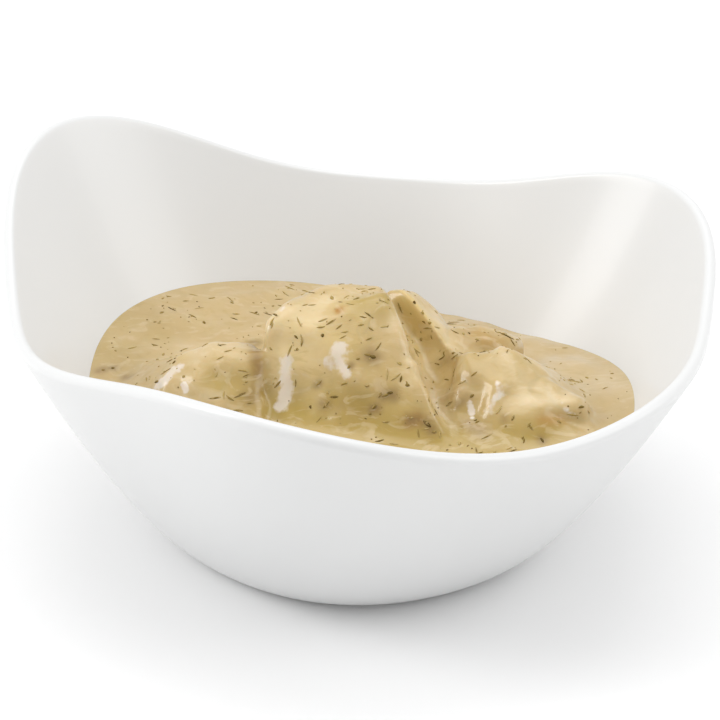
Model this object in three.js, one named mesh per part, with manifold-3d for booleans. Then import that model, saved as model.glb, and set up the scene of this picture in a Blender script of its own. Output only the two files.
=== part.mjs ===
// Dish of pickled herring: pieces of herring in a dill cream sauce, in a white bowl with a wavy rim.
// Millimetres, +Z up. The origin is the middle of the flat base, and -Y is the low front of the rim.
import * as THREE from 'three';
import { mergeVertices } from 'three/addons/utils/BufferGeometryUtils.js';
import Module from 'manifold-3d';

const wasm = await Module();
wasm.setup();

// Bowl: a flat round base, a wall that leans out, and a rim that rises in three lobes
const baseRadius = 35.2;
const rimRadius = 70.9;
const rimHeight = 50.9;
const floorThickness = 4.6;
const lipRadius = 1.3;
const wallBulge = { out: [0.245, 0.676], up: [0, 0.542] };

// Each wave has its count round the rim, its size, and the angle in degrees of one of its crests
const rimRadiusWaves = [
  { count: 2, size: 3.8, crest: 132 },
  { count: 3, size: 3.8, crest: 25 },
  { count: 6, size: 1.65, crest: 23 },
];
const rimHeightWaves = [
  { count: 1, size: 1.15, crest: 183 },
  { count: 2, size: 1.25, crest: 149 },
  { count: 3, size: 6.7, crest: 20 },
  { count: 4, size: 2.35, crest: 53 },
  { count: 6, size: 1.05, crest: 24 },
];

// Sauce: a thick pool that lies unevenly against the wall and climbs the herring
const sauceLevel = 25.8;
const sauceReach = 55;
const sauceFullShare = 1.1;
const sauceDip = -1.1;
const sauceWaves = [
  { count: 1, size: 0.53, crest: -123 },
  { count: 2, size: 2.6, crest: -32 },
  { count: 3, size: 2.18, crest: 4 },
  { count: 4, size: 0.74, crest: -21 },
  { count: 5, size: 0.32, crest: 30 },
];
const filletRise = 2.6;
const filletWidth = 4.5;
const filletPower = 2.5;

// Herring: each piece is a chunk with soft edges between flat sides. A side has the azimuth and
// elevation it faces, and its distance from the middle of the piece. The order is the cutting order.
const herringPieces = [
  {
    name: 'herring_main', middle: [1, -3, 31], softness: 14, detail: 5, flecks: 20,
    sides: [
      [212, 80, 14], [268, 52, 9.7], [256, 28, 8.2], [183, -9, 17.4], [218, 40, 19.2],
      [150, 10, 19.4], [5, 22, 10.8], [40, 10, 16], [95, 30, 18.4], [0, -90, 10],
    ],
  },
  {
    name: 'herring_back', middle: [17, 8, 30], softness: 8, detail: 4, flecks: 7,
    sides: [
      [195, 68, 18.6], [80, 52, 13.2], [5, 42, 4.2], [232, 12, 4.4], [90, 8, 11], [300, 18, 9.5],
      [180, 0, 12], [0, -90, 9],
    ],
  },
  {
    name: 'herring_right', middle: [29, -7, 27], softness: 9, detail: 4, flecks: 9,
    sides: [
      [275, 70, 9.4], [235, 36, 9], [355, 50, 9.8], [270, 24, 10.4], [20, 10, 12.5],
      [90, 42, 10], [180, 10, 10.5], [318, 40, 11.6], [0, -90, 8],
    ],
  },
  {
    name: 'herring_left', middle: [-28, -1, 26.5], softness: 7, detail: 4, flecks: 10,
    sides: [
      [255, 76, 10.2], [260, 40, 8.8], [168, 60, 9.8], [205, 46, 11.4], [185, 5, 14],
      [3, -3, 8.2], [85, 30, 8.6], [0, -90, 7],
    ],
  },
  {
    name: 'herring_back_right', middle: [25.5, 10.5, 27], softness: 6, detail: 3, flecks: 5,
    sides: [[30, 72, 7.4], [90, 20, 6], [270, 30, 6.5], [350, 15, 7.4], [180, 10, 8], [0, -90, 7]],
  },
  {
    name: 'herring_front_right', middle: [38.6, -12.4, 25], softness: 7, detail: 3, flecks: 3,
    sides: [
      [265, 76, 7.8], [270, 12, 6.4], [215, 15, 7], [180, 5, 8], [10, 8, 6.6], [40, 40, 7.8],
      [90, 10, 6], [0, -90, 5],
    ],
  },
];
const reliefSize = 0.018;
const reliefWaves = [[7, 3, 1], [-2, 6, 5], [4, -5, 8]];

// Dill: slivers half sunk into what they lie on
const sauceFlecks = 42;
const fleckLength = { short: 2.6, long: 5 };
const fleckWidth = 0.9;
const fleckThickness = 0.8;
const fleckMargin = 2.6;
const triesPerFleck = 20;

const gap = 0.3;
const wallClearance = 1.5;
const anglesRound = 60;
const seed = 41;

const rad = THREE.MathUtils.degToRad;

function waveSum(base, waves, angle) {
  return waves.reduce((sum, w) => sum + w.size * Math.cos(w.count * (angle - rad(w.crest))), base);
}

function bezier(t, first, second) {
  return 3 * first * t * (1 - t) ** 2 + 3 * second * t * t * (1 - t) + t ** 3;
}

// Radius and height on the outside of the wall: t is 0 at the base and 1 under the lip
function outerWall(angle, t) {
  const reach = waveSum(rimRadius, rimRadiusWaves, angle) - baseRadius;
  const height = waveSum(rimHeight, rimHeightWaves, angle);
  return [baseRadius + reach * bezier(t, ...wallBulge.out), height * bezier(t, ...wallBulge.up)];
}

// The unit direction along the wall, towards the rim
function alongWall(angle, t) {
  const step = 1e-4;
  const start = outerWall(angle, t - step);
  const end = outerWall(angle, t + step);
  const run = [end[0] - start[0], end[1] - start[1]];
  const length = Math.hypot(...run);
  return [run[0] / length, run[1] / length];
}

function wallThickness(t) {
  return THREE.MathUtils.lerp(floorThickness, 2 * lipRadius, Math.min(1, 2 * t));
}

function insideWall(angle, t, clearance) {
  const depth = wallThickness(t) + clearance;
  const [r, z] = outerWall(angle, t);
  const along = alongWall(angle, t);
  return [r - along[1] * depth, z + along[0] * depth];
}

// The round lip, from the outside at turn 0 over the top to the inside at turn PI
function lip(angle, turn) {
  const [r, z] = outerWall(angle, 1);
  const along = alongWall(angle, 1);
  const out = lipRadius * (Math.cos(turn) - 1);
  const over = lipRadius * Math.sin(turn);
  return [r + along[1] * out + along[0] * over, z - along[0] * out + along[1] * over];
}

// A closed skin through rows of [radius, height] points, with a single point at each end
function skin(rows, bottomHeight, topHeight) {
  const positions = [0, 0, bottomHeight];
  for (const row of rows) {
    for (let i = 0; i < anglesRound; i += 1) {
      const angle = (2 * Math.PI * i) / anglesRound;
      const [r, z] = row(angle);
      positions.push(r * Math.cos(angle), r * Math.sin(angle), z);
    }
  }
  positions.push(0, 0, topHeight);
  const last = positions.length / 3 - 1;
  const at = (row, i) => 1 + row * anglesRound + (i % anglesRound);
  const indices = [];
  for (let i = 0; i < anglesRound; i += 1) {
    indices.push(0, at(0, i + 1), at(0, i));
    for (let row = 0; row + 1 < rows.length; row += 1) {
      indices.push(at(row, i), at(row, i + 1), at(row + 1, i + 1));
      indices.push(at(row, i), at(row + 1, i + 1), at(row + 1, i));
    }
    indices.push(last, at(rows.length - 1, i), at(rows.length - 1, i + 1));
  }
  const geometry = new THREE.BufferGeometry();
  geometry.setAttribute('position', new THREE.Float32BufferAttribute(positions, 3));
  geometry.setIndex(indices);
  return geometry;
}

// Numbers from start to end, both included
function steps(start, end, count) {
  return Array.from({ length: count + 1 }, (_, i) => start + ((end - start) * i) / count);
}

function bowlGeometry() {
  const outside = steps(0, 1, 9).map((t) => (angle) => outerWall(angle, t));
  const overLip = steps(0, Math.PI, 4).slice(1, -1).map((turn) => (angle) => lip(angle, turn));
  const inside = steps(1, 0, 9).map((t) => (angle) => insideWall(angle, t, 0));
  return skin([...outside, ...overLip, ...inside], 0, floorThickness);
}

function direction(azimuth, elevation) {
  const flat = Math.cos(rad(elevation));
  const [a, up] = [rad(azimuth), Math.sin(rad(elevation))];
  return new THREE.Vector3(flat * Math.cos(a), flat * Math.sin(a), up);
}

for (const piece of herringPieces) {
  piece.facing = piece.sides.map(([azimuth, elevation]) => direction(azimuth, elevation));
}

// How far out of the piece a point is: 1 on its skin and less inside, before any relief
function reach(piece, point, clearance) {
  const offset = point.clone().sub(new THREE.Vector3(...piece.middle));
  const sum = piece.sides.reduce((total, side, i) => {
    const share = Math.max(0, offset.dot(piece.facing[i]) / (side[2] + clearance));
    return total + share ** piece.softness;
  }, 0);
  return sum ** (1 / piece.softness);
}

function relief(aim) {
  const waves = reliefWaves.map(([x, y, z]) => Math.sin(x * aim.x + y * aim.y + z * aim.z));
  return 1 + reliefSize * waves.reduce((sum, wave) => sum + wave, 0);
}

// The point where a ray from the middle of the piece leaves it
function skinPoint(piece, aim, clearance) {
  const middle = new THREE.Vector3(...piece.middle);
  const radius = relief(aim) / reach(piece, middle.clone().add(aim), clearance);
  return middle.addScaledVector(aim, radius);
}

function herringGeometry(piece, clearance) {
  const geometry = new THREE.IcosahedronGeometry(1, piece.detail);
  const place = geometry.attributes.position;
  for (let i = 0; i < place.count; i += 1) {
    const aim = new THREE.Vector3().fromBufferAttribute(place, i).normalize();
    place.setXYZ(i, ...skinPoint(piece, aim, clearance));
  }
  return geometry;
}

// Height of the sauce at a point, climbing to meet the herring beside it
function sauceHeight(x, y) {
  const angle = Math.atan2(y, x);
  const share = Math.min(sauceFullShare, (Math.hypot(x, y) / sauceReach) ** 2);
  const level = sauceLevel + share * waveSum(sauceDip, sauceWaves, angle);
  const climbs = herringPieces.map((piece) => {
    const [mx, my] = piece.middle;
    const away = Math.hypot(x - mx, y - my);
    const outside = away * (1 - 1 / Math.max(1, reach(piece, new THREE.Vector3(x, y, level), 0)));
    return filletRise * Math.max(0, 1 - outside / filletWidth) ** filletPower;
  });
  return level + Math.max(...climbs);
}

// Share of the way up the wall where the sauce ends
const edges = new Map();
function sauceEdge(angle) {
  if (edges.has(angle)) {
    return edges.get(angle);
  }
  let [low, high] = [0, 1];
  for (let i = 0; i < 24; i += 1) {
    const middle = (low + high) / 2;
    const [r, z] = insideWall(angle, middle, gap);
    if (z < sauceHeight(r * Math.cos(angle), r * Math.sin(angle))) {
      low = middle;
    } else {
      high = middle;
    }
  }
  edges.set(angle, low);
  return low;
}

// The room in the bowl that herring may fill, up to its lip
function roomGeometry() {
  const rows = steps(0, 1, 9).map((t) => (angle) => insideWall(angle, t, wallClearance));
  return skin(rows, floorThickness + wallClearance, rimHeight);
}

function sauceGeometry() {
  const againstWall = steps(0, 1, 5).map((share) => (angle) => (
    insideWall(angle, share * sauceEdge(angle), gap)));
  const top = steps(1, 0, 11).slice(1, -1).map((share) => (angle) => {
    const r = share * insideWall(angle, sauceEdge(angle), gap)[0];
    return [r, sauceHeight(r * Math.cos(angle), r * Math.sin(angle))];
  });
  return skin([...againstWall, ...top], floorThickness + gap, sauceHeight(0, 0));
}

function solid(geometry) {
  const bare = geometry.clone();
  bare.deleteAttribute('normal');
  bare.deleteAttribute('uv');
  const merged = mergeVertices(bare, 1e-4);
  return new wasm.Manifold(new wasm.Mesh({
    numProp: 3,
    vertProperties: new Float32Array(merged.attributes.position.array),
    triVerts: new Uint32Array(merged.index.array),
  }));
}

function geometryOf(body) {
  const mesh = body.getMesh();
  const geometry = new THREE.BufferGeometry();
  geometry.setAttribute('position', new THREE.Float32BufferAttribute(mesh.vertProperties, 3));
  geometry.setIndex(Array.from(mesh.triVerts));
  return geometry;
}

// The largest body that a cut leaves, without loose scraps
function largest(body) {
  return body.decompose().reduce((best, scrap) => (scrap.volume() > best.volume() ? scrap : best));
}

// Repeatable random numbers from 0 to 1
let randomState = seed;
function random() {
  randomState = (randomState * 1664525 + 1013904223) % 4294967296;
  return randomState / 4294967296;
}

// A sliver that lies on a surface, pointed at both ends
function fleckGeometry(place, normal) {
  const length = THREE.MathUtils.lerp(fleckLength.short, fleckLength.long, random());
  const geometry = new THREE.OctahedronGeometry(0.5);
  geometry.scale(length, fleckWidth, fleckThickness);
  geometry.rotateZ(2 * Math.PI * random());
  const turn = new THREE.Quaternion().setFromUnitVectors(new THREE.Vector3(0, 0, 1), normal);
  geometry.applyQuaternion(turn);
  geometry.translate(...place);
  return geometry;
}

// What a ray meets first, if it meets the surface at all
function touch(geometry, from, aim) {
  return new THREE.Raycaster(from, aim).intersectObject(new THREE.Mesh(geometry))[0];
}

function clearOf(pieces, place) {
  return pieces.every((piece) => {
    const away = place.distanceTo(new THREE.Vector3(...piece.middle));
    return away * (1 - 1 / reach(piece, place, 0)) > fleckMargin;
  });
}

function isDry(place) {
  return place.z > sauceHeight(place.x, place.y) + fleckMargin;
}

function withSauceFlecks(body) {
  const surface = geometryOf(body);
  let result = body;
  let count = 0;
  for (let i = 0; i < triesPerFleck * sauceFlecks && count < sauceFlecks; i += 1) {
    const angle = 2 * Math.PI * random();
    const edge = insideWall(angle, sauceEdge(angle), gap)[0];
    const r = (edge - 2 * fleckMargin) * Math.sqrt(random());
    const above = new THREE.Vector3(r * Math.cos(angle), r * Math.sin(angle), 2 * rimHeight);
    const hit = touch(surface, above, new THREE.Vector3(0, 0, -1));
    if (hit && clearOf(herringPieces, hit.point)) {
      result = result.add(solid(fleckGeometry(hit.point, hit.face.normal)));
      count += 1;
    }
  }
  return result;
}

function withHerringFlecks(body, piece) {
  const others = herringPieces.filter((other) => other !== piece);
  const surface = geometryOf(body);
  let result = body;
  let count = 0;
  for (let i = 0; i < triesPerFleck * piece.flecks && count < piece.flecks; i += 1) {
    const aim = direction(360 * random(), 10 + 80 * random());
    const outside = new THREE.Vector3(...piece.middle).addScaledVector(aim, 2 * rimHeight);
    const hit = touch(surface, outside, aim.negate());
    if (hit && isDry(hit.point) && clearOf(others, hit.point)) {
      result = result.add(solid(fleckGeometry(hit.point, hit.face.normal)));
      count += 1;
    }
  }
  return result;
}

function addMesh(group, name, geometry, color, roughness) {
  const material = new THREE.MeshStandardMaterial({ color, roughness, metalness: 0 });
  const mesh = new THREE.Mesh(geometry, material);
  mesh.name = name;
  group.add(mesh);
}

const dish = new THREE.Group();
addMesh(dish, 'bowl', bowlGeometry(), '#f2f1ee', 0.15);

let sauce = solid(sauceGeometry());
const room = solid(roomGeometry());
const cutters = [];
for (const piece of herringPieces) {
  const whole = solid(herringGeometry(piece, 0)).intersect(room);
  const cut = largest(cutters.reduce((body, cutter) => body.subtract(cutter), whole));
  const cutter = solid(herringGeometry(piece, gap));
  sauce = sauce.subtract(cutter);
  cutters.push(cutter);
  addMesh(dish, piece.name, geometryOf(withHerringFlecks(cut, piece)), '#dcc594', 0.35);
}
addMesh(dish, 'sauce', geometryOf(withSauceFlecks(largest(sauce))), '#d8bf8d', 0.3);

export default dish;
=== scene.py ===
import bpy
import bmesh
import math
import numpy as np
from mathutils import Matrix, Vector


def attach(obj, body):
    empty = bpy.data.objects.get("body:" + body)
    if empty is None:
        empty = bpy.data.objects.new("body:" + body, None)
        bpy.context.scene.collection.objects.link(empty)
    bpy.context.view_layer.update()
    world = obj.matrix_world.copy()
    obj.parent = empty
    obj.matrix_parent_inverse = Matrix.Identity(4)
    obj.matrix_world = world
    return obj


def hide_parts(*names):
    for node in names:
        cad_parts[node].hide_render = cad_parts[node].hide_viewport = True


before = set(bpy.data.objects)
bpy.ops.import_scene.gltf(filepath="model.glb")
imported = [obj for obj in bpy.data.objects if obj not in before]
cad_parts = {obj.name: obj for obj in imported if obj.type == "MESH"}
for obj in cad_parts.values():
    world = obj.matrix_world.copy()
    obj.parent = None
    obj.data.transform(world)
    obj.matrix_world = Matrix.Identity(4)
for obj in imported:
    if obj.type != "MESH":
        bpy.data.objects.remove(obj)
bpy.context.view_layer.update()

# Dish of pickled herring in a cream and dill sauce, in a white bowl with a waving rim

mm = 0.001  # sizes below are in millimetres, and meshes are made in metres


# Node trees: a wrapped socket does arithmetic, and one method makes any other node

class Wire:
    def __init__(self, tree, socket):
        self.tree = tree
        self.socket = socket

    def math(self, operation, *others):
        values = {i: other for i, other in enumerate((self,) + others)}
        return self.tree.node("ShaderNodeMath", {"operation": operation}, values)

    def __add__(self, other): return self.math("ADD", other)
    def __radd__(self, other): return self.math("ADD", other)
    def __sub__(self, other): return self.math("SUBTRACT", other)
    def __rsub__(self, other): return self.tree.wrap(other).math("SUBTRACT", self)
    def __mul__(self, other): return self.math("MULTIPLY", other)
    def __rmul__(self, other): return self.math("MULTIPLY", other)
    def __truediv__(self, other): return self.math("DIVIDE", other)
    def smallest(self, other): return self.math("MINIMUM", other)
    def largest(self, other): return self.math("MAXIMUM", other)
    def clamped(self): return self.largest(0.0).smallest(1.0)
    def above(self, other): return self.math("GREATER_THAN", other)
    def cosine(self): return self.math("COSINE")
    def sine(self): return self.math("SINE")
    def root(self): return self.math("SQRT")
    def whole(self): return self.math("FLOOR")


class Tree:
    def __init__(self, nodeTree):
        self.nodeTree = nodeTree

    def wrap(self, value):  # a bare number as a wire
        made = self.nodeTree.nodes.new("ShaderNodeValue")
        made.outputs[0].default_value = value
        return Wire(self, made.outputs[0])

    def node(self, kind, settings=None, sockets=None, output=0):
        made = self.nodeTree.nodes.new(kind)
        for name, value in (settings or {}).items():
            if name == "stops":
                self.setStops(made.color_ramp, value)
            else:
                setattr(made, name, value)
        for key, value in (sockets or {}).items():
            wires = value if isinstance(value, list) else [value]
            for wire in wires:
                if isinstance(wire, Wire):
                    self.nodeTree.links.new(wire.socket, made.inputs[key])
                else:
                    made.inputs[key].default_value = wire
        if output is None:
            return made
        return Wire(self, made.outputs[output])

    def setStops(self, ramp, stops):
        while len(ramp.elements) < len(stops):
            ramp.elements.new(0.5)
        for element, (place, color) in zip(ramp.elements, stops):
            element.position = place
            element.color = color

    def mixColor(self, share, first, second):
        sockets = {"Factor": share, 6: first, 7: second}
        return self.node("ShaderNodeMix", {"data_type": "RGBA"}, sockets, 2)

    def noise(self, place, scale, detail, **more):
        return self.node("ShaderNodeTexNoise", {}, dict(more, Vector=place, Scale=scale, Detail=detail))

    def attribute(self, name):
        return self.node("ShaderNodeAttribute", {"attribute_name": name}, {}, 2)


def rgb(red, green, blue):
    return (red, green, blue, 1.0)


def newGeometryTree(name, inputs):
    group = bpy.data.node_groups.new(name, "GeometryNodeTree")
    group.interface.new_socket("Geometry", in_out="OUTPUT", socket_type="NodeSocketGeometry")
    for label, kind in inputs.items():
        group.interface.new_socket(label, in_out="INPUT", socket_type=kind)
    tree = Tree(group)
    source = tree.node("NodeGroupInput", output=None)
    wires = {label: Wire(tree, source.outputs[label]) for label in inputs}
    return tree, wires


def endGeometryTree(tree, shape, material):  # realized, smooth and with its material
    realized = tree.node("GeometryNodeRealizeInstances", {}, {"Geometry": shape})
    smooth = tree.node("GeometryNodeSetShadeSmooth", {}, {"Geometry": realized})
    final = tree.node("GeometryNodeSetMaterial", {}, {"Geometry": smooth, "Material": material})
    output = tree.nodeTree.nodes.new("NodeGroupOutput")
    tree.nodeTree.links.new(final.socket, output.inputs[0])


def runGeometryTree(name, tree, values, material):
    holder = bpy.data.objects.new(name + "Holder", bpy.data.meshes.new(name + "Start"))
    bpy.context.scene.collection.objects.link(holder)
    modifier = holder.modifiers.new(name, "NODES")
    modifier.node_group = tree.nodeTree
    for item in tree.nodeTree.interface.items_tree:
        if item.item_type == "SOCKET" and item.in_out == "INPUT" and item.name in values:
            modifier[item.identifier] = values[item.name]
    evaluated = holder.evaluated_get(bpy.context.evaluated_depsgraph_get())
    mesh = bpy.data.meshes.new_from_object(evaluated)
    holder.modifiers.remove(modifier)
    bpy.data.objects.remove(holder)
    return dressMesh(name, mesh, material)


def dressMesh(name, mesh, material):
    mesh.name = name
    mesh.materials.clear()
    mesh.materials.append(material)
    mesh.polygons.foreach_set("material_index", np.zeros(len(mesh.polygons), dtype=np.int32))
    mesh.polygons.foreach_set("use_smooth", np.ones(len(mesh.polygons), dtype=bool))
    piece = bpy.data.objects.new(name, mesh)
    bpy.context.scene.collection.objects.link(piece)
    return piece


def meshPiece(name, points, faces, material):
    mesh = bpy.data.meshes.new(name)
    mesh.from_pydata((np.asarray(points) * mm).tolist(), [], faces)
    mesh.update()
    return dressMesh(name, mesh, material)


def readVectors(rows, name):
    flat = np.empty(3 * len(rows))
    rows.foreach_get(name, flat)
    return flat.reshape(-1, 3)


def pointsOf(piece):
    return readVectors(piece.data.vertices, "co") / mm


def normalsOf(piece):
    return readVectors(piece.data.vertex_normals, "vector")


def setNormals(piece, normals):
    piece.data.normals_split_custom_set_from_vertices(normals.tolist())


def setAttribute(piece, name, values):
    layer = piece.data.attributes.new(name, "FLOAT", "POINT")
    layer.data.foreach_set("value", np.asarray(values, dtype=np.float32))


def newMaterial(name):
    material = bpy.data.materials.new(name)
    material.use_nodes = True
    return material, Tree(material.node_tree), material.node_tree.nodes["Principled BSDF"]


def plug(tree, shader, values):
    for name, value in values.items():
        if isinstance(value, Wire):
            tree.nodeTree.links.new(value.socket, shader.inputs[name])
        else:
            shader.inputs[name].default_value = value


# Bowl: one closed wall of revolution whose radius and height wave round the rim

bowl = {
    "Base radius": 35.2,
    "Rim radius": 70.7,
    "Rim height": 50.77,
    "Floor thickness": 4.6,
    "Lip radius": 1.3,
    "bulgeOut": (0.245, 0.676),
    "bulgeUp": (0.0, 0.542),
    "radiusWaves": [(2, 3.8, 132), (3, 3.8, 25), (6, 1.65, 23)],  # count, size, crest in degrees
    "heightWaves": [(1, 1.15, 183), (2, 1.25, 149), (3, 6.7, 20), (4, 2.35, 53), (6, 1.05, 24)],
    "anglesRound": 288,
    "wallRows": 56,
    "lipRows": 14,
    "floorRows": 8,
    "dullGlaze": rgb(0.702, 0.707, 0.706),
    "brightGlaze": rgb(0.72, 0.724, 0.722),
    "cloudScale": 38.0,
    "grainScale": 420.0,
    "roughness": 0.3,
    "unevenness": 0.05,
}


def bezier(t, first, second):
    return 3 * first * t * (1 - t) * (1 - t) + 3 * second * t * t * (1 - t) + t * t * t


def bezierSlope(t, first, second):
    return 3 * first * (1 - t) * (1 - 3 * t) + 3 * second * t * (2 - 3 * t) + 3 * t * t


def makeBowl(material):
    sizes = [label for label in bowl if label[0].isupper()]
    inputs = {label: "NodeSocketFloat" for label in sizes}
    inputs["Glaze"] = "NodeSocketMaterial"
    tree, wires = newGeometryTree("bowlShape", inputs)
    rowsEach, lipRows, floorRows = bowl["wallRows"], bowl["lipRows"], bowl["floorRows"]
    lastRow = 2 * (rowsEach + floorRows) + lipRows
    grid = tree.node("GeometryNodeMeshGrid", {}, {
        "Vertices X": bowl["anglesRound"] + 1, "Vertices Y": lastRow + 1})
    index = tree.node("GeometryNodeInputIndex")
    column = ((index + 0.5) / (lastRow + 1)).whole()
    row = index - column * (lastRow + 1)
    angle = column * (2 * math.pi / bowl["anglesRound"])
    fromEnd = row.smallest(lastRow - row)
    t = ((fromEnd - floorRows) / rowsEach).clamped()
    spread = (fromEnd / floorRows).clamped()
    turn = ((row - (floorRows + rowsEach)) / lipRows).clamped() * math.pi

    def waved(base, waves):
        total = base
        for count, size, crest in waves:
            total = total + size * (count * angle - count * math.radians(crest)).cosine()
        return total

    reach = waved(wires["Rim radius"], bowl["radiusWaves"]) - wires["Base radius"]
    height = waved(wires["Rim height"], bowl["heightWaves"])
    radius = wires["Base radius"] + reach * bezier(t, *bowl["bulgeOut"])
    level = height * bezier(t, *bowl["bulgeUp"])
    runOut = reach * bezierSlope(t, *bowl["bulgeOut"])
    runUp = height * bezierSlope(t, *bowl["bulgeUp"])
    run = (runOut * runOut + runUp * runUp).root()
    alongOut, alongUp = runOut / run, runUp / run
    thin = (2 * t).smallest(1.0)
    floorHalf = wires["Floor thickness"] / 2
    half = floorHalf + thin * (wires["Lip radius"] - floorHalf)
    inward = half * (turn.cosine() - 1)
    over = half * turn.sine()
    wallRadius = (radius + alongUp * inward + alongOut * over) * spread * mm
    wallHeight = (level - alongOut * inward + alongUp * over) * mm
    place = tree.node("ShaderNodeCombineXYZ", {}, {
        "X": wallRadius * angle.cosine(), "Y": wallRadius * angle.sine(), "Z": wallHeight})
    moved = tree.node("GeometryNodeSetPosition", {}, {"Geometry": grid, "Position": place})
    merged = tree.node("GeometryNodeMergeByDistance", {}, {"Geometry": moved, "Distance": 1e-6})
    endGeometryTree(tree, merged, wires["Glaze"])
    values = {label: bowl[label] for label in sizes}
    return runGeometryTree("glazedBowl", tree, dict(values, Glaze=material), material)


def glazeMaterial():
    material, tree, shader = newMaterial("whiteGlaze")
    place = tree.node("ShaderNodeTexCoord", output=3)
    cloud = tree.noise(place, bowl["cloudScale"], 3.0)
    orangePeel = tree.noise(place, bowl["grainScale"], 2.0)
    color = tree.mixColor(cloud, bowl["dullGlaze"], bowl["brightGlaze"])
    bumps = tree.node("ShaderNodeBump", {}, {
        "Strength": bowl["unevenness"], "Distance": 0.0002, "Height": 0.7 * cloud + 0.3 * orangePeel})
    plug(tree, shader, {
        "Base Color": color, "Roughness": bowl["roughness"] + 0.1 * cloud, "Normal": bumps, "IOR": 1.5,
        "Coat Weight": 0.15, "Coat Roughness": 0.12})
    return material


# The same wall worked out with numbers, so that the sauce meets it

def waveSum(base, waves, angle):
    return base + sum(size * np.cos(count * (angle - math.radians(crest))) for count, size, crest in waves)


def insideWall(angle, t, clearance):
    reach = waveSum(bowl["Rim radius"], bowl["radiusWaves"], angle) - bowl["Base radius"]
    height = waveSum(bowl["Rim height"], bowl["heightWaves"], angle)
    runOut = reach * bezierSlope(t, *bowl["bulgeOut"])
    runUp = height * bezierSlope(t, *bowl["bulgeUp"])
    run = np.hypot(runOut, runUp)
    thin = np.minimum(1.0, 2 * t)
    depth = bowl["Floor thickness"] * (1 - thin) + 2 * bowl["Lip radius"] * thin + clearance
    radius = bowl["Base radius"] + reach * bezier(t, *bowl["bulgeOut"]) - runUp / run * depth
    return radius, height * bezier(t, *bowl["bulgeUp"]) + runOut / run * depth


# Herring: each chunk is a soft-edged body between flat sides, given as azimuth, elevation, distance

herring = {
    "herringMain": {
        "node": "herring_main", "middle": (1, -3, 31), "softness": 14, "blend": 8.0,
        "sides": [
            (212, 80, 14.0), (268, 52, 9.7), (256, 28, 8.2), (183, -9, 17.4), (218, 40, 19.2),
            (150, 10, 19.4), (5, 22, 10.8), (40, 10, 16), (95, 30, 18.4), (0, -90, 10)],
        "folds": [  # ridges and dents: start, end, width, size
            ((5.5, 1.3, 45), (11.8, -9.2, 37), 1.9, 1.1), ((11.8, -9.2, 37), (15.4, -17.8, 27), 2.1, 1.1),
            ((-13.6, -6, 37), (-13.6, -12.4, 28), 2.4, 1.0),
            ((-1.5, -10.5, 35.5), (-1.5, -10.5, 35.5), 2.2, 1.0),
            ((-12, -5, 42), (5, 2, 45.5), 2.6, 0.9), ((-16, -1, 42), (-12, 2, 45), 3.2, 1.3)]},
    "herringBack": {
        "node": "herring_back", "middle": (17, 8, 30), "softness": 8, "blend": 5.5,
        "sides": [
            (195, 68, 18.6), (80, 52, 13.2), (5, 42, 4.2), (232, 12, 4.4), (90, 8, 11),
            (300, 18, 9.5), (180, 0, 12), (0, -90, 9)],
        "folds": [((13.5, 3, 39), (14.5, 0, 35), 2.2, -1.2), ((15, 6, 41.5), (19.5, 0, 34), 1.5, 0.7)]},
    "herringRight": {
        "node": "herring_right", "middle": (29, -7, 27), "softness": 9, "blend": 8.0,
        "sides": [
            (275, 70, 9.4), (235, 36, 9.0), (355, 50, 9.8), (270, 24, 10.4), (20, 10, 12.5),
            (90, 42, 10.0), (180, 10, 10.5), (318, 40, 11.6), (0, -90, 8)],
        "folds": [
            ((28.5, -3.6, 36.5), (34.6, -9, 34), 1.6, 0.8), ((24, -12, 33), (23, -15, 29), 2.2, -1.0),
            ((28, -12, 34), (26, -15, 30), 1.8, 0.8), ((20, -6, 33), (23, -8, 34), 1.5, 0.5)]},
    "herringLeft": {
        "node": "herring_left", "middle": (-28, -1, 26.5), "softness": 7, "blend": 7.5,
        "sides": [
            (255, 76, 10.2), (260, 40, 8.8), (168, 60, 9.8), (205, 46, 11.4), (185, 5, 14),
            (3, -3, 8.2), (85, 30, 8.6), (0, -90, 7)],
        "folds": [((-33, -3, 34), (-22, -3, 35.5), 2.2, 0.4)]},
    "herringBackRight": {
        "node": "herring_back_right", "middle": (25.5, 10.5, 27), "softness": 6, "blend": 2.5,
        "sides": [
            (30, 72, 7.4), (90, 20, 6), (270, 30, 6.5), (350, 15, 7.4), (180, 10, 8), (0, -90, 7)],
        "folds": []},
    "herringFrontRight": {
        "node": "herring_front_right", "middle": (38.6, -12.4, 25), "softness": 7, "blend": 1.8,
        "sides": [
            (265, 76, 7.8), (270, 12, 6.4), (215, 15, 7), (180, 5, 8), (10, 8, 6.6), (40, 40, 7.8),
            (90, 10, 6), (0, -90, 5)],
        "folds": [((37, -18, 29.5), (43, -18, 29), 1.4, -0.8)]},
}
herringSkin = {
    "twists": [(7, 3, 1), (-2, 6, 5), (4, -5, 8)],
    "twistSize": 0.018,
    "bulges": [(16.0, 0.3), (7.5, 0.15), (3.5, 0.035)],  # wavelength and size of the coat's unevenness
    "fineness": 7,
    "seed": 5,
    "wavesEach": 9,  # waves added up for each wavelength
    "waveSpread": (0.7, 1.4),  # how much coarser and finer they are than it
    "waveShare": 0.47,
    "bareAbove": -0.12,  # dill lies on a chunk down to this depth under the joined surface
    "hollowReach": 3.5,  # in a hollow there is still food near a point this far out
    "hollowDepth": 3.2,
    "ridgeReach": 3.0,  # on a ridge there is little food round a point this far in
    "ridgeShare": 0.85,
}


def direction(azimuth, elevation):
    a, b = math.radians(azimuth), math.radians(elevation)
    return (math.cos(a) * math.cos(b), math.sin(a) * math.cos(b), math.sin(b))


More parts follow.
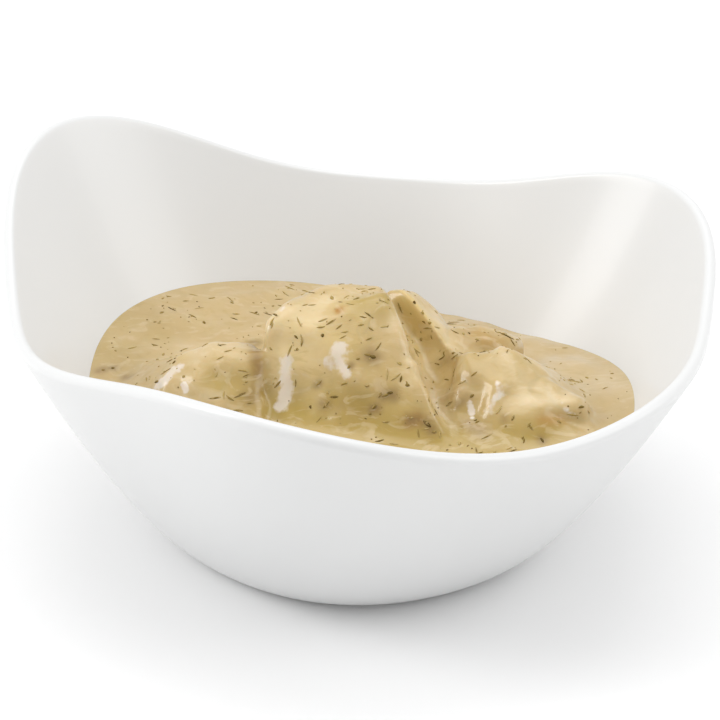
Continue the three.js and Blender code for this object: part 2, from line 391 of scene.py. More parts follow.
def unevenness(points, bulges, seed):  # smooth random relief as a sum of plane waves
    draw = np.random.default_rng(seed)
    count = herringSkin["wavesEach"]
    total = np.zeros(len(points))
    for wavelength, size in bulges:
        heading = draw.normal(size=(3, count))
        spread = draw.uniform(*herringSkin["waveSpread"], count)
        heading *= 2 * math.pi / wavelength * spread / np.linalg.norm(heading, axis=0)
        start = draw.uniform(0, 2 * math.pi, count)
        total += size * herringSkin["waveShare"] * np.sin(points @ heading + start).sum(axis=1)
    return total


def foldsOn(piece, points):
    total = np.zeros(len(points))
    for start, end, width, size in piece["folds"]:
        start, along = np.array(start, dtype=float), np.subtract(end, start).astype(float)
        share = np.clip((points - start) @ along / (along @ along + 1e-9), 0, 1)
        away = np.linalg.norm(points - start - share[:, None] * along, axis=1)
        total += size * np.exp(-(away / width) ** 2)
    return total


def relief(piece, points):
    seed = herringSkin["seed"] + len(piece["node"])
    return foldsOn(piece, points) + unevenness(points, herringSkin["bulges"], seed)


def plainSkin(piece, aims):  # how far the flat sides and soft edges are from the middle, along each aim
    outward = np.array([direction(azimuth, elevation) for azimuth, elevation, _ in piece["sides"]])
    distance = np.array([side[2] for side in piece["sides"]], dtype=float)
    shares = np.maximum(0, aims @ outward.T / distance)
    largest = shares.max(axis=1) + 1e-9
    scaled = (shares / largest[:, None]) ** piece["softness"]
    twist = np.sin(aims @ np.array(herringSkin["twists"], dtype=float).T).sum(axis=1)
    return (1 + herringSkin["twistSize"] * twist) / (largest * scaled.sum(axis=1) ** (1 / piece["softness"]))


def skinDistance(piece, points, detailed=True):  # above nought outside a chunk
    offset = points - np.array(piece["middle"], dtype=float)
    away = np.linalg.norm(offset, axis=1) + 1e-9
    outside = away - plainSkin(piece, offset / away[:, None])
    return outside - relief(piece, points) if detailed else outside


def makeHerring(material):
    ball = bmesh.new()
    bmesh.ops.create_icosphere(ball, subdivisions=herringSkin["fineness"], radius=1.0)
    aims = np.array([vertex.co[:] for vertex in ball.verts])
    aims /= np.linalg.norm(aims, axis=1)[:, None]
    faces = [[vertex.index for vertex in face.verts] for face in ball.faces]
    ball.free()
    made = []
    for name, piece in herring.items():
        points = np.array(piece["middle"], dtype=float) + aims * plainSkin(piece, aims)[:, None]
        points = points + aims * relief(piece, points)[:, None]
        chunk = meshPiece(name, points, faces, material)
        covered = foodField(points, levelAt(points[:, 0], points[:, 1]))[0]
        setAttribute(chunk, "bare", covered > herringSkin["bareAbove"])
        setNormals(chunk, facing(points))
        made.append(chunk)
    return made


# Sauce: a thick pool with an uneven surface that is drawn up smoothly over the herring

sauce = {
    "level": 25.8,
    "reach": 55.0,
    "levelWaves": [  # count, size, crest in degrees
        (0, -1.1, 0), (1, 0.53, -123), (2, 2.6, -32), (3, 2.18, 4), (4, 0.74, -21), (5, 0.32, 30)],
    "fullShare": 1.1,  # the level's waves stop growing outward here
    "ripples": [(18.0, 0.22), (8.0, 0.08)],
    "calmEdge": 5.0,
    "intoWall": -0.1,
    "anglesRound": 640,
    "rings": 140,
    "sideRows": 8,
    "seed": 17,
    "edgeSteps": 30,
    "nearHerring": 9.0,
    "fromHeight": 52.0,  # the joined skin is looked for downward from here, without its relief at first
    "stride": 0.8,
    "steps": 34,
    "plainSteps": 24,
    "sink": 0.2,  # how far the pool stays under a chunk's own skin where the coat is thin
    "thinCoat": 0.3,
    "bareCoat": 0.2,  # dill lies on the pool where the coat is thicker, up to this share of the way out
    "bareShare": 0.975,
}


def levelAt(x, y):
    angle = np.arctan2(y, x)
    share = np.minimum(sauce["fullShare"], (np.hypot(x, y) / sauce["reach"]) ** 2)
    level = sauce["level"] + share * waveSum(0.0, sauce["levelWaves"], angle)
    calm = np.clip((1 - share) * sauce["calmEdge"], 0, 1)
    flat = np.stack([x, y, np.zeros_like(x)], axis=1)
    return level + calm * unevenness(flat, sauce["ripples"], sauce["seed"])


def foodField(points, level, detailed=True):  # distance outside the sauce and herring, smoothly joined
    joined = points[:, 2] - level
    nearest = np.full(len(points), 1e3)
    for piece in herring.values():
        distance = skinDistance(piece, points, detailed)
        nearest = np.minimum(nearest, distance)
        share = np.clip(0.5 + 0.5 * (distance - joined) / piece["blend"], 0, 1)
        joined = distance + (joined - distance) * share - piece["blend"] * share * (1 - share)
    return joined, nearest


def facing(points):  # the joined surface's own facing, so that sauce and herring are shaded as one skin
    nudge = 0.2
    start = foodField(points, levelAt(points[:, 0], points[:, 1]))[0]
    slopes = []
    for shift in np.eye(3) * nudge:
        moved = points + shift
        slopes.append(foodField(moved, levelAt(moved[:, 0], moved[:, 1]))[0] - start)
    slopes = np.stack(slopes, axis=1)
    return slopes / np.linalg.norm(slopes, axis=1)[:, None]


def sauceTop(x, y):
    level = levelAt(x, y)
    z = level.copy()
    thickness = np.full(len(x), sauce["nearHerring"])
    near = foodField(np.stack([x, y, level], axis=1), level, False)[1] < sauce["nearHerring"]
    points = np.stack([x[near], y[near], np.full(near.sum(), sauce["fromHeight"])], axis=1)
    for step in range(sauce["steps"]):  # come down from above until the skin is met
        distance, nearest = foodField(points, level[near], step > sauce["plainSteps"])
        points[:, 2] -= sauce["stride"] * distance
    onHerring = nearest < points[:, 2] - level[near]
    thickness[near] = np.where(onHerring, nearest, sauce["nearHerring"])
    z[near] = points[:, 2]
    return z - sauce["sink"] * np.clip(1 - thickness / sauce["thinCoat"], 0, 1), thickness


def sauceEdge(angle):  # share of the way up the wall where the sauce ends
    low, high = np.zeros_like(angle), np.ones_like(angle)
    for _ in range(sauce["edgeSteps"]):
        middle = (low + high) / 2
        radius, height = insideWall(angle, middle, sauce["intoWall"])
        below = height < levelAt(radius * np.cos(angle), radius * np.sin(angle))
        low, high = np.where(below, middle, low), np.where(below, high, middle)
    return low


def makeSauce(material):
    around, rings, sideRows = sauce["anglesRound"], sauce["rings"], sauce["sideRows"]
    angle = np.arange(around) * 2 * math.pi / around
    edge = sauceEdge(angle)
    wallRadius = insideWall(angle, edge, sauce["intoWall"])[0]
    share = np.arange(1, rings + 1) / rings
    x = np.append(np.outer(share, wallRadius * np.cos(angle)).ravel(), 0.0)
    y = np.append(np.outer(share, wallRadius * np.sin(angle)).ravel(), 0.0)
    z, thickness = sauceTop(x, y)
    rows = [np.stack([x, y, z], axis=1)[:-1]]
    for row in range(1, sideRows + 1):  # down the wall to the floor
        radius, height = insideWall(angle, edge * (1 - row / sideRows), sauce["intoWall"])
        rows.append(np.stack([radius * np.cos(angle), radius * np.sin(angle), height], axis=1))
    points = np.concatenate(rows + [[[0, 0, z[-1]], [0, 0, bowl["Floor thickness"]]]])
    number = np.arange((rings + sideRows) * around).reshape(-1, around)
    beside = np.roll(number, -1, axis=1)
    corners = [number[:-1], number[1:], beside[1:], beside[:-1]]
    faces = np.stack(corners, axis=-1).reshape(-1, 4).tolist()
    top, bottom = len(points) - 2, len(points) - 1
    faces += [[top, int(p), int(q)] for p, q in zip(number[0], beside[0])]
    faces += [[bottom, int(q), int(p)] for p, q in zip(number[-1], beside[-1])]
    pool = meshPiece("creamSauce", points, faces, material)
    inside = np.repeat(share, around) < sauce["bareShare"]
    bare = np.zeros(len(points))
    bare[:rings * around] = (thickness[:-1] > sauce["bareCoat"]) & inside
    setAttribute(pool, "bare", bare)
    normals = normalsOf(pool)
    normals[:rings * around] = facing(points[:rings * around])
    setNormals(pool, normals)
    return pool


def markHollows(piece):  # hollow between neighbours, which the coat darkens as painted shade, and ridge along thick soft edges
    points, normals = pointsOf(piece), normalsOf(piece)
    level = levelAt(points[:, 0], points[:, 1])
    hollowReach, ridgeReach = herringSkin["hollowReach"], herringSkin["ridgeReach"]
    outer = foodField(points + hollowReach * normals, level, False)[0]
    inner = foodField(points - ridgeReach * normals, level, False)[0]
    setAttribute(piece, "hollow", np.clip(1 - outer / herringSkin["hollowDepth"], 0, 1))
    setAttribute(piece, "ridge", np.clip(herringSkin["ridgeShare"] + inner / ridgeReach, 0, 1))


# Coat: paler where it is thick, olive where it is thin, darker and yellower in hollows and gaps as painted
# shade, with painted light, painted highlights and bare flesh at a few places seen in the picture

strokeSpacing = 5  # pixels of the picture
coat = {  # from and to places in the picture, radius in millimetres, strength
    "butter": [  # warm yellow, painted light that brightens parts of the main chunk and the pit which the lamps leave darker
        (302, 342, 322, 392, 7.0, 0.6), (322, 335, 345, 345, 5.0, 0.5), (408, 306, 422, 332, 3.6, 1.0),
        (422, 332, 446, 372, 4.0, 0.8), (300, 312, 350, 308, 4.0, 0.3), (394, 402, 408, 410, 3.2, 0.8)],
    # olive: the thin coat's colour, and also painted shade at the foot of the chunks, in gaps and in the pit
    "olive": [
        (300, 398, 325, 402, 4.5, 0.6), (332, 400, 362, 406, 4.2, 1.0), (365, 398, 385, 402, 4.0, 0.5),
        (458, 410, 478, 428, 2.6, 0.7), (244, 396, 262, 386, 2.6, 0.8), (212, 381, 240, 383, 3.2, 0.7),
        (255, 342, 258, 375, 1.8, 1.0), (258, 375, 264, 392, 2.8, 0.9),
        (95, 350, 125, 355, 6.0, 0.4), (118, 320, 150, 330, 6.0, 0.3), (270, 410, 420, 436, 5.5, 1.0),
        (420, 436, 480, 440, 5.5, 1.0), (480, 440, 550, 432, 5.0, 0.9), (340, 352, 372, 392, 5.0, 0.22),
        (480, 358, 520, 374, 5.0, 0.3), (364, 303, 388, 298, 4.0, 0.85), (470, 334, 500, 340, 3.0, 0.4)],
    "flesh": [
        (256, 352, 258, 370, 1.2, 0.35), (339, 310, 339, 310, 0.9, 1.0),
        (543, 420, 560, 419, 1.4, 0.45), (470, 334, 498, 340, 3.0, 0.25), (410, 421, 417, 419, 1.4, 0.5)],
    # pale: paler thick cream on edges, and also painted highlights and painted light on lit edges and in the
    # pit
    "pale": [
        (398, 318, 412, 345, 1.8, 0.8), (412, 345, 432, 395, 1.8, 0.9), (432, 395, 445, 430, 2.0, 0.8),
        (285, 312, 350, 293, 2.6, 0.5), (268, 326, 284, 308, 2.0, 1.0), (285, 326, 285, 400, 2.4, 0.9),
        (434, 314, 453, 346, 1.8, 0.8), (498, 352, 530, 385, 2.0, 0.7), (526, 400, 562, 400, 2.4, 1.0),
        (190, 350, 238, 345, 4.0, 0.5), (185, 384, 215, 400, 2.0, 0.4), (303, 336, 316, 382, 5.5, 1.0),
        (560, 365, 615, 385, 7.0, 0.35), (425, 340, 445, 368, 3.0, 0.8)],
    # dark marks: leaf bits of dill lying in the coat, and painted shade in a few gaps beside the chunks
    "smudge": [
        (371, 356, 375, 358, 1.5, 0.8), (385, 395, 393, 395, 1.7, 0.8), (410, 421, 418, 420, 1.5, 0.9),
        (424, 423, 431, 428, 1.6, 0.9), (372, 409, 376, 408, 1.2, 0.9), (322, 404, 330, 404, 1.4, 0.6),
        (349, 367, 351, 366, 0.9, 0.8), (470, 424, 480, 430, 2.2, 0.8), (112, 368, 114, 368, 1.2, 0.8),
        (100, 371, 103, 370, 1.2, 0.8), (126, 377, 130, 377, 1.4, 0.6), (317, 385, 319, 383, 1.0, 0.7),
        (504, 418, 504, 420, 1.1, 0.7), (541, 439, 543, 441, 1.0, 0.8), (458, 404, 466, 398, 1.2, 0.6),
        (250, 396, 258, 388, 2.0, 0.7), (255, 343, 258, 374, 1.6, 0.8), (446, 396, 470, 382, 2.0, 0.35),
        (440, 362, 456, 355, 1.5, 0.4), (452, 384, 472, 374, 1.4, 0.3), (259, 376, 264, 390, 2.2, 0.5),
        (332, 401, 360, 407, 3.0, 0.3)],
    # painted highlights: white-pink streaks where the lamps' glints on the wet coat are painted into its
    # colour
    "shine": [
        (286, 362, 284, 396, 1.7, 1.0), (284, 398, 281, 408, 2.1, 1.0), (341, 351, 336, 361, 2.3, 1.0),
        (331, 362, 338, 361, 1.8, 1.0), (340, 361, 346, 374, 1.6, 0.95), (181, 367, 158, 384, 1.6, 1.0),
        (184, 384, 186, 391, 0.8, 1.0), (497, 384, 499, 392, 1.3, 0.85), (499, 394, 488, 410, 1.4, 0.85),
        (470, 402, 473, 418, 0.8, 0.95), (562, 404, 573, 416, 1.0, 0.8), (283, 308, 279, 313, 0.8, 0.9),
        (273, 320, 270, 325, 0.7, 0.9)],
}


def foodSpot(surfaces, px, py):  # the point and facing of the food that a place in the picture shows
    camera = bpy.context.scene.camera
    middle = studio["imageWidth"] / 2
    scale = camera.data.sensor_width / camera.data.lens / studio["imageWidth"]
    aim = camera.rotation_euler.to_matrix() @ Vector(((px - middle) * scale, (middle - py) * scale, -1.0))
    best = None
    for surface in surfaces:
        hit, place, normal, _ = surface.ray_cast(camera.location, aim.normalized())
        distance = (place - camera.location).length
        if hit and (best is None or distance < best[0]):
            best = (distance, place, normal)
    return best and (np.array(best[1]) / mm, np.array(best[2]))


def paintCoat(surfaces):
    bpy.context.view_layer.update()
    marks = {name: [] for name in coat}
    for name, strokes in coat.items():
        for x0, y0, x1, y1, radius, strength in strokes:
            steps = 1 + int(math.hypot(x1 - x0, y1 - y0) / strokeSpacing)
            for step in range(steps + 1):
                px, py = x0 + (x1 - x0) * step / steps, y0 + (y1 - y0) * step / steps
                spot = foodSpot(surfaces, px, py)
                if spot:  # a place just off the food is left out
                    marks[name].append((spot[0], radius, strength))
    for surface in surfaces:
        points = pointsOf(surface)
        for name, places in marks.items():
            total = np.zeros(len(points))
            for place, radius, strength in places:
                away = np.linalg.norm(points - place, axis=1)
                total = np.maximum(total, strength * np.exp(-(away / radius) ** 2))
            setAttribute(surface, name, total)


coatLook = {
    "cream": rgb(0.505, 0.364, 0.16),
    "lightCream": rgb(0.56, 0.415, 0.2),
    "thin": rgb(0.49, 0.345, 0.112),
    "ridge": rgb(0.62, 0.48, 0.268),
    "pale": rgb(0.70, 0.56, 0.345),
    # darker, yellower colour for painted shade in hollows
    "hollow": rgb(0.39, 0.265, 0.07),
    "butter": rgb(0.66, 0.49, 0.18),
    # olive, also used as painted shade
    "olive": rgb(0.36, 0.245, 0.03),
    "flesh": rgb(0.40, 0.19, 0.022),
    "smudge": rgb(0.22, 0.13, 0.035),
    "paleFilm": rgb(0.66, 0.535, 0.34),
    "yellowFilm": rgb(0.43, 0.30, 0.085),
    "speckle": rgb(0.40, 0.285, 0.125),
    # colour of the painted highlights
    "shine": rgb(0.70, 0.62, 0.52),
    "broadScale": 55.0,
    "veilScale": 95.0,
    "filmScale": 170.0,
    "raggedScale": 400.0,
    "fineScale": 420.0,
    "filmStretch": (1.0, 1.6, 2.4),
}


def coatMaterial(name, thin):
    material, tree, shader = newMaterial(name)
    place = tree.node("ShaderNodeTexCoord", output=3)
    flat = tree.node("ShaderNodeVectorMath", {"operation": "MULTIPLY"}, {
        0: place, 1: coatLook["filmStretch"]})
    broad = tree.noise(place, coatLook["broadScale"], 4.0)
    fine = tree.noise(place, coatLook["fineScale"], 5.0)
    veil = tree.noise(place, coatLook["veilScale"], 3.0, Distortion=1.2)
    film = tree.noise(flat, coatLook["filmScale"], 5.0, Distortion=1.6)
    ragged = tree.noise(place, coatLook["raggedScale"], 3.0)
    patch = ((broad - 0.5) * 3.0 + 0.5).clamped()
    color = tree.mixColor(patch, coatLook["cream"], coatLook["lightCream"])
    layers = [  # each laid over the ones before it
        ("ridge", tree.attribute("ridge") * 0.55),
        # pale cream, partly painted highlights and painted light
        ("pale", tree.attribute("pale") * (0.5 + 0.4 * veil)),
        # painted shade: darker, yellower coat in hollows between chunks and sauce
        ("hollow", (tree.attribute("hollow") * 0.32).clamped()),
        # painted light: warm yellow laid where the lamps leave the coat too dark
        ("butter", tree.attribute("butter") * 0.7),
        # olive, partly the thin coat and partly painted shade
        ("olive", tree.attribute("olive") * (0.6 + 0.4 * veil)),
        ("flesh", (tree.attribute("flesh") * (0.8 + 0.8 * fine)).clamped()),
        # dark dill bits, and painted shade in a few gaps
        ("smudge", (tree.attribute("smudge") * (0.2 + 1.2 * fine)).clamped()),
        ("paleFilm", ((film - 0.54) * 9.0).clamped() * 0.3),
        ("yellowFilm", ((0.43 - film) * 9.0).clamped() * 0.3),
        ("speckle", ((fine - 0.5) * 3.0).clamped() * 0.22),
        # painted highlights, laid on with ragged edges
        ("shine", ((tree.attribute("shine") + 1.8 * (ragged - 0.5) - 0.5) * 3.0).clamped() * 0.85)]
    if thin:  # the fish shows through yellower
        layers.insert(0, ("thin", ((veil - 0.5) * 5.0).clamped() * 0.4))
    for tone, share in layers:
        color = tree.mixColor(share, color, coatLook[tone])
    bumps = tree.node("ShaderNodeBump", {}, {
        "Strength": 0.3, "Distance": 0.0003, "Height": 0.6 * broad + 0.25 * fine + 0.3 * film})
    plug(tree, shader, {
        "Base Color": color, "Roughness": 0.26 + 0.12 * fine, "Normal": bumps,
        "Subsurface Weight": 0.3, "Subsurface Radius": (1.0, 0.6, 0.3), "Subsurface Scale": 0.0016,
        "IOR": 1.42, "Coat Weight": 0.4, "Coat Roughness": 0.06})
    return material


# Dill: chopped twigs, leaf bits and specks scattered over the sauce and herring

dill = {
    "twig": {
        "Amount": 23000.0, "Length": 2.2, "Width": 0.38, "Thickness": 0.26, "Bend": 0.1, "Seed": 3,
        "Clumping": 3.0},
    "leaf": {
        "Amount": 8000.0, "Length": 1.3, "Width": 0.7, "Thickness": 0.3, "Bend": 0.2, "Seed": 8,
        "Clumping": 2.5},
    "speck": {
        "Amount": 50000.0, "Length": 0.5, "Width": 0.34, "Thickness": 0.25, "Bend": 0.0, "Seed": 12,
        "Clumping": 1.5},
}
dillScatter = {
    "clumpScale": 75.0,
    "smallestShare": 0.05,
    "bareLimit": 0.9,
    "shortest": (0.3, 0.6, 0.8),  # shares of length, width and thickness
    "longest": (1.3, 1.25, 1.2),
    "turnSeed": 4,
    "stretchSeed": 6,
    "toneSeed": 9,
    "sliverSides": 5,
    "sliverRows": 4,
    "taper": 3.2,
}
placedDill = {
    "Thickness": 0.3,
    "Bend": 0.06,
    "places": [  # in the picture: across, down, turn in degrees, then length, width and tone
        (372, 289, 30, 1.6, 0.3, 0.3), (356, 299, 10, 1.2, 0.45, 0.15), (369, 315, -40, 2.2, 0.4, 0.1),
        (363, 317, -15, 1.4, 0.35, 0.3), (323, 320, 25, 2.0, 0.45, 0.35), (331, 322, 35, 2.4, 0.45, 0.3),
        (339, 327, 40, 1.6, 0.35, 0.35), (312, 305, 15, 1.8, 0.3, 0.6), (305, 305, 35, 1.4, 0.3, 0.55),
        (361, 325, 10, 1.2, 0.4, 0.5), (371, 329, -35, 1.2, 0.45, 0.35), (369, 339, 25, 1.4, 0.4, 0.4),
        (296, 337, -45, 1.0, 0.45, 0.1), (302, 342, 80, 1.8, 0.5, 0.25), (345, 332, 5, 1.6, 0.3, 0.6),
        (343, 337, 30, 1.6, 0.3, 0.6), (368, 355, -10, 1.6, 0.5, 0.35), (373, 357, -15, 1.2, 0.8, 0.08),
        (358, 359, 10, 0.8, 0.5, 0.35), (349, 367, 45, 0.9, 0.6, 0.25), (401, 379, 80, 1.4, 0.5, 0.1),
        (278, 384, 45, 2.2, 0.45, 0.25), (319, 383, 40, 1.4, 0.5, 0.45), (334, 397, -5, 1.8, 0.6, 0.1),
        (386, 395, 20, 1.6, 0.6, 0.3), (390, 393, 10, 1.4, 0.6, 0.05), (380, 395, 60, 1.2, 0.5, 0.3),
        (367, 386, 0, 0.9, 0.6, 0.3), (400, 308, -65, 2.4, 0.35, 0.35), (273, 306, 60, 0.8, 0.6, 0.3),
        (326, 405, 45, 1.8, 0.5, 0.2), (374, 407, 45, 1.2, 0.8, 0.2), (370, 414, 0, 0.7, 0.5, 0.2),
        (411, 418, 10, 1.0, 0.5, 0.35), (427, 424, -40, 2.0, 0.8, 0.0), (434, 432, 0, 1.0, 0.6, 0.25),
        (386, 422, 0, 1.4, 0.5, 0.4), (240, 395, 25, 2.4, 0.5, 0.12), (215, 398, 3, 2.8, 0.45, 0.2),
        (222, 345, 5, 1.8, 0.35, 0.3), (228, 351, 10, 1.6, 0.35, 0.3), (205, 345, 10, 1.4, 0.35, 0.35),
        (220, 358, 20, 1.6, 0.3, 0.5), (155, 322, 0, 0.8, 0.4, 0.2), (159, 323, 20, 0.7, 0.4, 0.3),
        (156, 339, 0, 1.6, 0.35, 0.35), (113, 368, 0, 0.9, 0.7, 0.15), (103, 370, 0, 0.8, 0.6, 0.25),
        (101, 337, 20, 1.0, 0.3, 0.5), (186, 301, 25, 1.4, 0.35, 0.4), (236, 314, 5, 1.6, 0.5, 0.55),
        (292, 285, 5, 1.2, 0.3, 0.4), (565, 348, 0, 1.4, 0.35, 0.4), (572, 380, -30, 1.2, 0.3, 0.3),
        (513, 418, 70, 1.2, 0.5, 0.15), (542, 440, -65, 1.6, 0.5, 0.05), (524, 441, 80, 1.2, 0.4, 0.2),
        (472, 396, 40, 1.0, 0.6, 0.2), (477, 422, 30, 1.0, 0.4, 0.2), (474, 374, 40, 1.6, 0.35, 0.35),
        (463, 382, 25, 2.4, 0.35, 0.3), (449, 404, 30, 2.4, 0.5, 0.15), (442, 358, 15, 1.8, 0.4, 0.25),
        (454, 357, 20, 1.6, 0.35, 0.3), (449, 324, -50, 3.4, 0.4, 0.05), (455, 332, -60, 2.0, 0.4, 0.1),
        (507, 336, -40, 3.2, 0.5, 0.0), (513, 343, -50, 1.6, 0.4, 0.15), (436, 312, -40, 1.0, 0.3, 0.4),
        (559, 422, -20, 1.0, 0.6, 0.2)],
}


def dillSliver(tree, wires):  # a flat stick, pointed at both ends and a little bent
    stick = tree.node("GeometryNodeMeshCylinder", {}, {
        "Vertices": dillScatter["sliverSides"], "Side Segments": dillScatter["sliverRows"],
        "Radius": 0.5, "Depth": 1.0})
    split = tree.node("ShaderNodeSeparateXYZ", {}, {"Vector": tree.node("GeometryNodeInputPosition")}, None)
    across, up, along = (Wire(tree, split.outputs[i]) for i in range(3))
    taper = 1 - dillScatter["taper"] * along * along
    curve = wires["Bend"] * along * along * wires["Length"] * 2
    shaped = tree.node("ShaderNodeCombineXYZ", {}, {
        "X": along * wires["Length"] * mm,
        "Y": (across * taper * wires["Width"] + curve) * mm,
        "Z": up * taper * wires["Thickness"] * mm})
    return tree.node("GeometryNodeSetPosition", {}, {"Geometry": stick, "Position": shaped})


def geometryOf(tree, wire):
    return tree.node("GeometryNodeObjectInfo", {}, {"Object": wire}, 4)


def storedValue(tree, kind, name):
    return tree.node("GeometryNodeInputNamedAttribute", {"data_type": kind}, {"Name": name})


def makeDill(kind, surfaces, material):
    sizes = {label: value for label, value in dill[kind].items() if label != "Seed"}
    inputs = {surface.name: "NodeSocketObject" for surface in surfaces}
    inputs.update({"Seed": "NodeSocketInt", "Herb": "NodeSocketMaterial"})
    inputs.update({label: "NodeSocketFloat" for label in sizes})
    tree, wires = newGeometryTree(kind + "Scatter", inputs)
    sliver = dillSliver(tree, wires)
    tops = [geometryOf(tree, wires[surface.name]) for surface in surfaces]
    ground = tree.node("GeometryNodeJoinGeometry", {}, {"Geometry": tops})
    bare = storedValue(tree, "FLOAT", "bare").above(dillScatter["bareLimit"])
    cloud = tree.noise(tree.node("GeometryNodeInputPosition"), dillScatter["clumpScale"], 2.0)
    clump = (1 + wires["Clumping"] * (cloud - 0.5) * 4).largest(dillScatter["smallestShare"])
    scatter = tree.node("GeometryNodeDistributePointsOnFaces", {}, {
        "Mesh": ground, "Density": wires["Amount"] * bare * clump, "Seed": wires["Seed"]}, None)
    points, turned = Wire(tree, scatter.outputs[0]), Wire(tree, scatter.outputs[2])
    anyTurn = tree.node("FunctionNodeRandomValue", {"data_type": "FLOAT"}, {
        2: 0.0, 3: 2 * math.pi, "Seed": dillScatter["turnSeed"]}, 1)
    spin = tree.node("FunctionNodeAxisAngleToRotation", {}, {"Axis": (0.0, 0.0, 1.0), "Angle": anyTurn})
    aimed = tree.node("FunctionNodeRotateRotation", {"rotation_space": "LOCAL"}, {
        "Rotation": turned, "Rotate By": spin})
    stretch = tree.node("FunctionNodeRandomValue", {"data_type": "FLOAT_VECTOR"}, {
        0: dillScatter["shortest"], 1: dillScatter["longest"], "Seed": dillScatter["stretchSeed"]}, 0)
    placed = tree.node("GeometryNodeInstanceOnPoints", {}, {
        "Points": points, "Instance": sliver, "Rotation": aimed, "Scale": stretch})
    anyTone = tree.node("FunctionNodeRandomValue", {"data_type": "FLOAT"}, {
        2: 0.0, 3: 1.0, "Seed": dillScatter["toneSeed"]}, 1)
    toned = tree.node("GeometryNodeStoreNamedAttribute", {"data_type": "FLOAT", "domain": "INSTANCE"}, {
        "Geometry": placed, "Name": "tone", "Value": anyTone})
    endGeometryTree(tree, toned, wires["Herb"])
    values = dict(dill[kind], Herb=material)
    values.update({surface.name: surface for surface in surfaces})
    return runGeometryTree(kind + "Dill", tree, values, material)


def placeDill(surfaces, material):  # the flecks that stand out, each where the picture shows it
    places, turns, scales, tones = [], [], [], []
    elevation = math.radians(studio["elevation"])
    for px, py, turn, length, width, tone in placedDill["places"]:
        spot = foodSpot(surfaces, px, py)
        if spot:
            away = Vector(spot[1])
            across, upward = math.cos(math.radians(turn)), math.sin(math.radians(turn))
            along = Vector((across, upward * math.sin(elevation), upward * math.cos(elevation)))
            along = (along - along.dot(away) * away).normalized()
            turned = Matrix((along, away.cross(along), away)).transposed()
            places.append(spot[0])
            turns.append(turned.to_euler()[:])
            scales.append((length, width, 1.0))
            tones.append(tone)
    marks = meshPiece("dillMarks", places, [], material)
    setAttribute(marks, "tone", tones)
    for name, rows in (("turned", turns), ("stretch", scales)):
        marks.data.attributes.new(name, "FLOAT_VECTOR", "POINT").data.foreach_set("vector", np.ravel(rows))
    inputs = {"Marks": "NodeSocketObject", "Herb": "NodeSocketMaterial"}
    inputs.update({label: "NodeSocketFloat" for label in ("Length", "Width", "Thickness", "Bend")})
    tree, wires = newGeometryTree("placedDill", inputs)
    placed = tree.node("GeometryNodeInstanceOnPoints", {}, {
        "Points": geometryOf(tree, wires["Marks"]), "Instance": dillSliver(tree, wires),
        "Rotation": storedValue(tree, "FLOAT_VECTOR", "turned"),
        "Scale": storedValue(tree, "FLOAT_VECTOR", "stretch")})
    endGeometryTree(tree, placed, wires["Herb"])
    values = {"Marks": marks, "Herb": material, "Length": 1.0, "Width": 1.0}
    values.update({label: placedDill[label] for label in ("Thickness", "Bend")})
    made = runGeometryTree("placedDill", tree, values, material)
    bpy.data.objects.remove(marks)
    return made


dillTones = {
    "stops": [
        (0.0, rgb(0.08, 0.05, 0.012)), (0.2, rgb(0.22, 0.15, 0.04)), (0.55, rgb(0.36, 0.255, 0.08)),
        (1.0, rgb(0.48, 0.35, 0.13))],
    "sauce": rgb(0.50, 0.365, 0.165),
    "sauceScale": 1100.0,
    "grain": rgb(0.28, 0.20, 0.06),
    "grainScale": 1500.0,
}


def dillMaterial():
    material, tree, shader = newMaterial("choppedDill")
    place = tree.node("ShaderNodeTexCoord", output=3)
    grain = tree.noise(place, dillTones["grainScale"], 2.0)
    base = tree.node("ShaderNodeValToRGB", {"stops": dillTones["stops"]}, {"Fac": tree.attribute("tone")})
    smear = tree.noise(place, dillTones["sauceScale"], 3.0)
    cover = ((smear - 0.5) * 7.0).clamped()  # sauce that lies over part of it
    color = tree.mixColor(cover * 0.75, base, dillTones["sauce"])
    color = tree.mixColor(grain * 0.25, color, dillTones["grain"])
    bumps = tree.node("ShaderNodeBump", {}, {"Strength": 0.4, "Distance": 0.0001, "Height": grain})
    plug(tree, shader, {
        "Base Color": color, "Roughness": 0.55 + 0.2 * grain, "Normal": bumps, "Specular IOR Level": 0.06,
        "Subsurface Weight": 0.2, "Subsurface Radius": (1.0, 0.7, 0.3), "Subsurface Scale": 0.0008})
    return material


# Studio: a pale floor, an even sky, a hard-edged soft box on the left and softer ones right and above

studio = {
    "aim": (0.9, 0.0, 33.4),
    "distance": 479.5,
    "elevation": 27.2,
    "focalLength": 121.1,
    "sensorWidth": 36,
    "imageWidth": 720,
    "floorShade": 0.88,
    "floorHalf": 4000.0,
    "sky": 0.76,
    "boxes": [  # name, azimuth, elevation, distance, width, height, brightness
        ("leftBox", 180, 32, 1500, 550, 930, 5.9),
        ("rightBox", 352, 38, 1500, 870, 1030, 2.4),
        ("topBox", 85, 76, 1600, 1200, 1200, 1.8)],
}


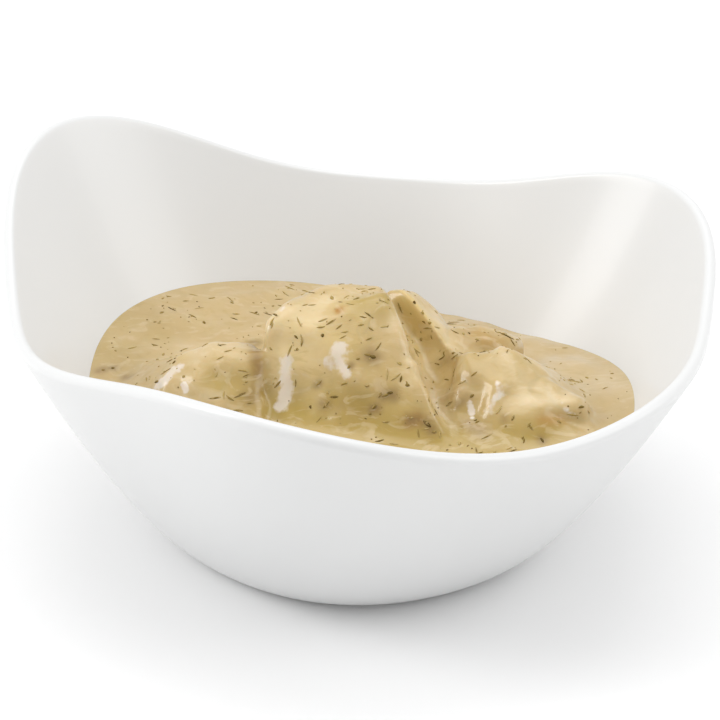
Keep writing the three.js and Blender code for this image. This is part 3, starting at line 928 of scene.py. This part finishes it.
def makeCamera():
    elevation = math.radians(studio["elevation"])
    away = Vector((0.0, -math.cos(elevation), math.sin(elevation)))
    lens = bpy.data.cameras.new("photoCamera")
    lens.lens = studio["focalLength"]
    lens.sensor_width = studio["sensorWidth"]
    lens.clip_start = 0.01
    camera = bpy.data.objects.new("photoCamera", lens)
    camera.location = (Vector(studio["aim"]) + away * studio["distance"]) * mm
    camera.rotation_euler = (math.pi / 2 - elevation, 0, 0)
    bpy.context.scene.collection.objects.link(camera)
    bpy.context.scene.camera = camera


def makeLights():
    for name, azimuth, elevation, distance, width, height, brightness in studio["boxes"]:
        light = bpy.data.lights.new(name, "AREA")
        light.shape = "RECTANGLE"
        light.size, light.size_y = width * mm, height * mm
        light.energy = brightness * math.pi * light.size * light.size_y
        holder = bpy.data.objects.new(name, light)
        toLight = Vector(direction(azimuth, elevation))
        holder.location = toLight * distance * mm
        holder.rotation_euler = toLight.to_track_quat("Z", "Y").to_euler()
        bpy.context.scene.collection.objects.link(holder)
    world = bpy.data.worlds.new("studioSky")
    world.use_nodes = True
    world.node_tree.nodes["Background"].inputs["Color"].default_value = rgb(1.0, 1.0, 1.0)
    world.node_tree.nodes["Background"].inputs["Strength"].default_value = studio["sky"]
    bpy.context.scene.world = world
    bpy.context.scene.view_settings.view_transform = "Standard"


def makeFloor():
    material, tree, shader = newMaterial("paleFloor")
    plug(tree, shader, {"Base Color": rgb(*[studio["floorShade"]] * 3), "Roughness": 0.8})
    half = studio["floorHalf"]
    corners = [(-half, -half, 0), (half, -half, 0), (half, half, 0), (-half, half, 0)]
    meshPiece("paleFloor", corners, [(0, 1, 2, 3)], material)


makeCamera()
makeLights()
makeFloor()
print("studio ready")

bowlPiece = makeBowl(glazeMaterial())
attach(bowlPiece, "root")
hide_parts("bowl")
print("bowl ready")

pool = makeSauce(coatMaterial("creamSauce", False))
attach(pool, "root")
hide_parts("sauce")
print("sauce ready")

chunks = makeHerring(coatMaterial("coatedHerring", True))
for chunk in chunks:
    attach(chunk, "root")
    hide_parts(herring[chunk.name]["node"])
print("herring ready")

food = [pool] + chunks
for surface in food:
    markHollows(surface)
paintCoat(food)
print("coat painted")

herb = dillMaterial()
for herbPiece in [makeDill(kind, food, herb) for kind in dill] + [placeDill(food, herb)]:
    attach(herbPiece, "root")
    print(herbPiece.name, "ready:", len(herbPiece.data.polygons), "faces")
